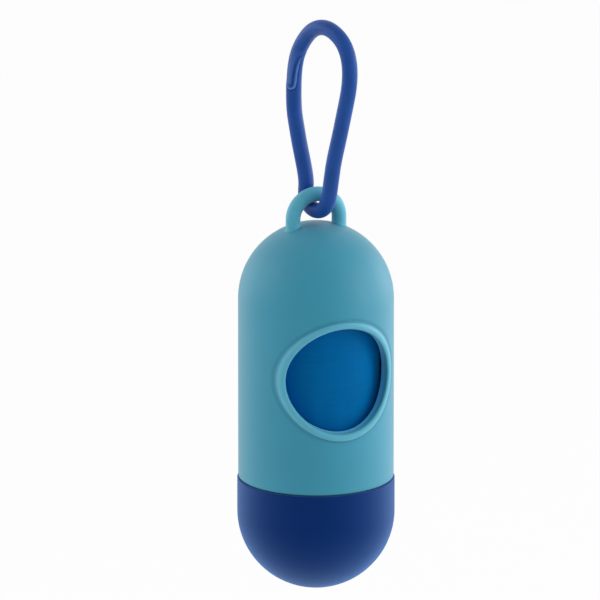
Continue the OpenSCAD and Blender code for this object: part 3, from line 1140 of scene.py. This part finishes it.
class DISPENSER_OT_camera(bpy.types.Operator):
    """Sets a long lens at the photographed side, a little above the capsule"""

    bl_idname = "dispenser.camera"
    bl_label = "Camera"

    def execute(self, context):
        stage = context.scene.dispenser_stage
        toward = view_direction(stage)
        height = measures(context.scene).dome_z - stage.aim_drop
        aim = side_direction(stage) * -stage.aim_side + Vector((0, 0, height))
        data = bpy.data.cameras.new("camera")
        data.lens = stage.focal
        data.sensor_width = 36
        away = stage.frame_width * stage.focal / data.sensor_width
        data.clip_start = 0.1
        data.clip_end = 4 * away
        camera = bpy.data.objects.new("camera", data)
        context.scene.collection.objects.link(camera)
        camera.location = aim + toward * away
        camera.rotation_euler = toward.to_track_quat("Z", "Y").to_euler()
        context.scene.camera = camera
        return {"FINISHED"}


class DISPENSER_OT_strap(bpy.types.Operator):
    """Builds the soft cord loop with the lap joint of its two ends"""

    bl_idname = "dispenser.strap"
    bl_label = "Strap loop"

    def execute(self, context):
        scene = context.scene
        strap = scene.dispenser_strap
        centres, along, whole, tip = strap_route(scene)
        count = len(centres)
        wire = bpy.data.meshes.new("strap_cord")
        wire.from_pydata(centres.tolist(), [(i, (i + 1) % count) for i in range(count)], [])
        way = unit(np.roll(centres, -1, axis=0) - np.roll(centres, 1, axis=0))
        flat_side = np.array([math.cos(strap.loop_turn), math.sin(strap.loop_turn), 0])
        keep(wire, "centre", centres)
        keep(wire, "flat_side", np.tile(flat_side, (count, 1)))
        keep(wire, "bend_side", np.cross(way, flat_side))
        keep(wire, "along", along)
        piece = new_piece("strap_cord", wire)
        material = silicone("Strap silicone", scene.dispenser_colours)
        values = {"Cord radius": strap.cord_d / 2, "Sides": strap.sides, "Material": material}
        through_tree(piece, cord_tree, values)
        press_lap(piece.data, scene, tip)
        even_faces(piece.data)
        settle(piece, "strap", "strap")
        path = [tuple(centre) for centre in centres] + [tuple(centres[0])]
        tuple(path[0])
        return {"FINISHED"}


class DISPENSER_OT_shell(bpy.types.Operator):
    """Builds the upper shell with its eyelet, round window and threaded neck"""

    bl_idname = "dispenser.shell"
    bl_label = "Upper shell"

    def execute(self, context):
        scene = context.scene
        m = measures(scene)
        colours = scene.dispenser_colours
        tone_rule = shell_wear_and_painted_light(colours, m)
        material = moulded_plastic("Tube plastic", colours.shell, specular=0.4, sheen=0.25, wear_and_painted_light=tone_rule)
        piece = new_piece("domed_tube", shell_mesh(scene, m))
        through_tree(piece, thread_tree, thread_values(scene, m, 0.0, 1.0, material))
        settle(piece, "shell", "upper_shell")
        return {"FINISHED"}


class DISPENSER_OT_cap(bpy.types.Operator):
    """Builds the screw cap with its round end and inside thread"""

    bl_idname = "dispenser.cap"
    bl_label = "Lower cap"

    def execute(self, context):
        scene = context.scene
        m = measures(scene)
        tint = scene.dispenser_colours.cap
        shine = (0.02, 0.2, 1, 1)
        bloom = (0.13, 0.42, 1, 1)
        material = moulded_plastic("Cap plastic", tint, specular=0.3, sheen=0.7, shine=shine, bloom=bloom)
        piece = new_piece("cap", cap_mesh(scene, m))
        through_tree(piece, thread_tree, thread_values(scene, m, math.pi / 2, -1.0, material))
        settle(piece, "cap", "lower_cap")
        return {"FINISHED"}


class DISPENSER_OT_roll(bpy.types.Operator):
    """Builds the roll of bag film and the card core that it is wound on"""

    bl_idname = "dispenser.roll"
    bl_label = "Bag roll"

    def execute(self, context):
        scene = context.scene
        roll = scene.dispenser_roll
        colours = scene.dispenser_colours
        low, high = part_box("bag_roll")
        core_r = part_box("roll_core")[1].x
        mesh = tube_mesh("film_roll", core_r + roll.core_gap, high.x, low.z, high.z, roll.film_round, 240)
        piece = new_piece("film_roll", mesh)
        values = {
            "Roll radius": high.x,
            "Lower end": low.z,
            "Upper end": high.z,
            "Film step": roll.film_step,
            "Crease": roll.crease,
            "Turn pitch": roll.turn_pitch,
            "Turn depth": roll.turn_depth,
            "Side depth": 0.4 * MM,
            "End depth": 0.2 * MM,
            "Material": wound_film("Bag film", colours.film),
        }
        through_tree(piece, film_tree, values)
        settle(piece, "roll", "bag_roll")

        low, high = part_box("roll_core")
        mesh = tube_mesh("card_core", high.x - roll.card_wall, high.x, low.z, high.z, roll.card_round, 120)
        piece = new_piece("card_core", mesh)
        values = {
            "Outside": high.x,
            "Lay": roll.card_lay,
            "Groove": roll.card_groove,
            "Side depth": 0.2 * MM,
            "Material": card("Card", colours.card, roll.card_lay),
        }
        through_tree(piece, card_tree, values)
        settle(piece, "core", "roll_core")
        return {"FINISHED"}


class DISPENSER_OT_stage(bpy.types.Operator):
    """Sets the floor, the soft lamps and the light from all round"""

    bl_idname = "dispenser.stage"
    bl_label = "Stage"

    def execute(self, context):
        scene = context.scene
        stage = scene.dispenser_stage
        scene.view_settings.view_transform = "Standard"
        floor_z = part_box("lower_cap")[0].z - stage.floor_drop
        half = stage.floor_half
        mesh = bpy.data.meshes.new("floor")
        corners = [(x * half, y * half, floor_z) for x, y in ((-1, -1), (1, -1), (1, 1), (-1, 1))]
        mesh.from_pydata(corners, [], [(0, 1, 2, 3)])
        floor = new_piece("floor", mesh, floor_material(scene.dispenser_colours.floor))
        middle = Vector((0, 0, -stage.lamp_drop))
        lamps = (
            ("right lamp", stage.key, stage.key_side, stage.key_rise, stage.key_width),
            ("left lamp", stage.fill, stage.fill_side, stage.fill_rise, stage.fill_width),
            ("right edge lamp", stage.edge_right, stage.edge_side, stage.edge_rise, stage.edge_width),
            ("left edge lamp", stage.edge_left, -stage.edge_side, stage.edge_rise, stage.edge_width),
        )
        for name, power, turn, rise, width in lamps:
            data = bpy.data.lights.new(name, "AREA")
            data.energy = power
            data.shape = "RECTANGLE"
            data.size = width
            data.size_y = width * stage.lamp_shape
            azimuth = stage.azimuth + turn
            away = Vector((math.sin(azimuth), -math.cos(azimuth), math.tan(rise))).normalized()
            lamp = bpy.data.objects.new(name, data)
            scene.collection.objects.link(lamp)
            lamp.location = middle + away * stage.lamp_away
            lamp.rotation_euler = away.to_track_quat("Z", "Y").to_euler()
        scene.world = white_world(stage.sky, stage.front, side_direction(stage))
        return {"FINISHED"}


class DISPENSER_PT_panel(bpy.types.Panel):
    """Sizes, colours and building steps of the bag dispenser"""

    bl_idname = "DISPENSER_PT_panel"
    bl_label = "Bag dispenser"
    bl_space_type = "VIEW_3D"
    bl_region_type = "UI"
    bl_category = "Dispenser"

    def draw(self, context):
        for name, group in GROUPS.items():
            box = self.layout.box()
            box.label(text=group.__doc__)
            for entry in group.__annotations__:
                box.prop(getattr(context.scene, name), entry)
        for step in STEPS:
            self.layout.operator(step.bl_idname)


GROUPS = {
    "dispenser_shell": DispenserShell,
    "dispenser_cap": DispenserCap,
    "dispenser_thread": DispenserThread,
    "dispenser_roll": DispenserRoll,
    "dispenser_strap": DispenserStrap,
    "dispenser_colours": DispenserColours,
    "dispenser_stage": DispenserStage,
}
STEPS = (
    DISPENSER_OT_camera, DISPENSER_OT_strap, DISPENSER_OT_shell, DISPENSER_OT_cap, DISPENSER_OT_roll,
    DISPENSER_OT_stage,
)


def register():
    for kind in (*GROUPS.values(), *STEPS, DISPENSER_PT_panel):
        bpy.utils.register_class(kind)
    for name, group in GROUPS.items():
        setattr(bpy.types.Scene, name, PointerProperty(type=group))


def unregister():
    for name in GROUPS:
        delattr(bpy.types.Scene, name)
    for kind in (DISPENSER_PT_panel, *reversed(STEPS), *reversed(GROUPS.values())):
        bpy.utils.unregister_class(kind)


def main():
    register()
    bpy.ops.dispenser.camera()
    bpy.ops.dispenser.strap()
    bpy.ops.dispenser.shell()
    bpy.ops.dispenser.cap()
    bpy.ops.dispenser.roll()
    bpy.ops.dispenser.stage()


if __name__ == "__main__":
    main()
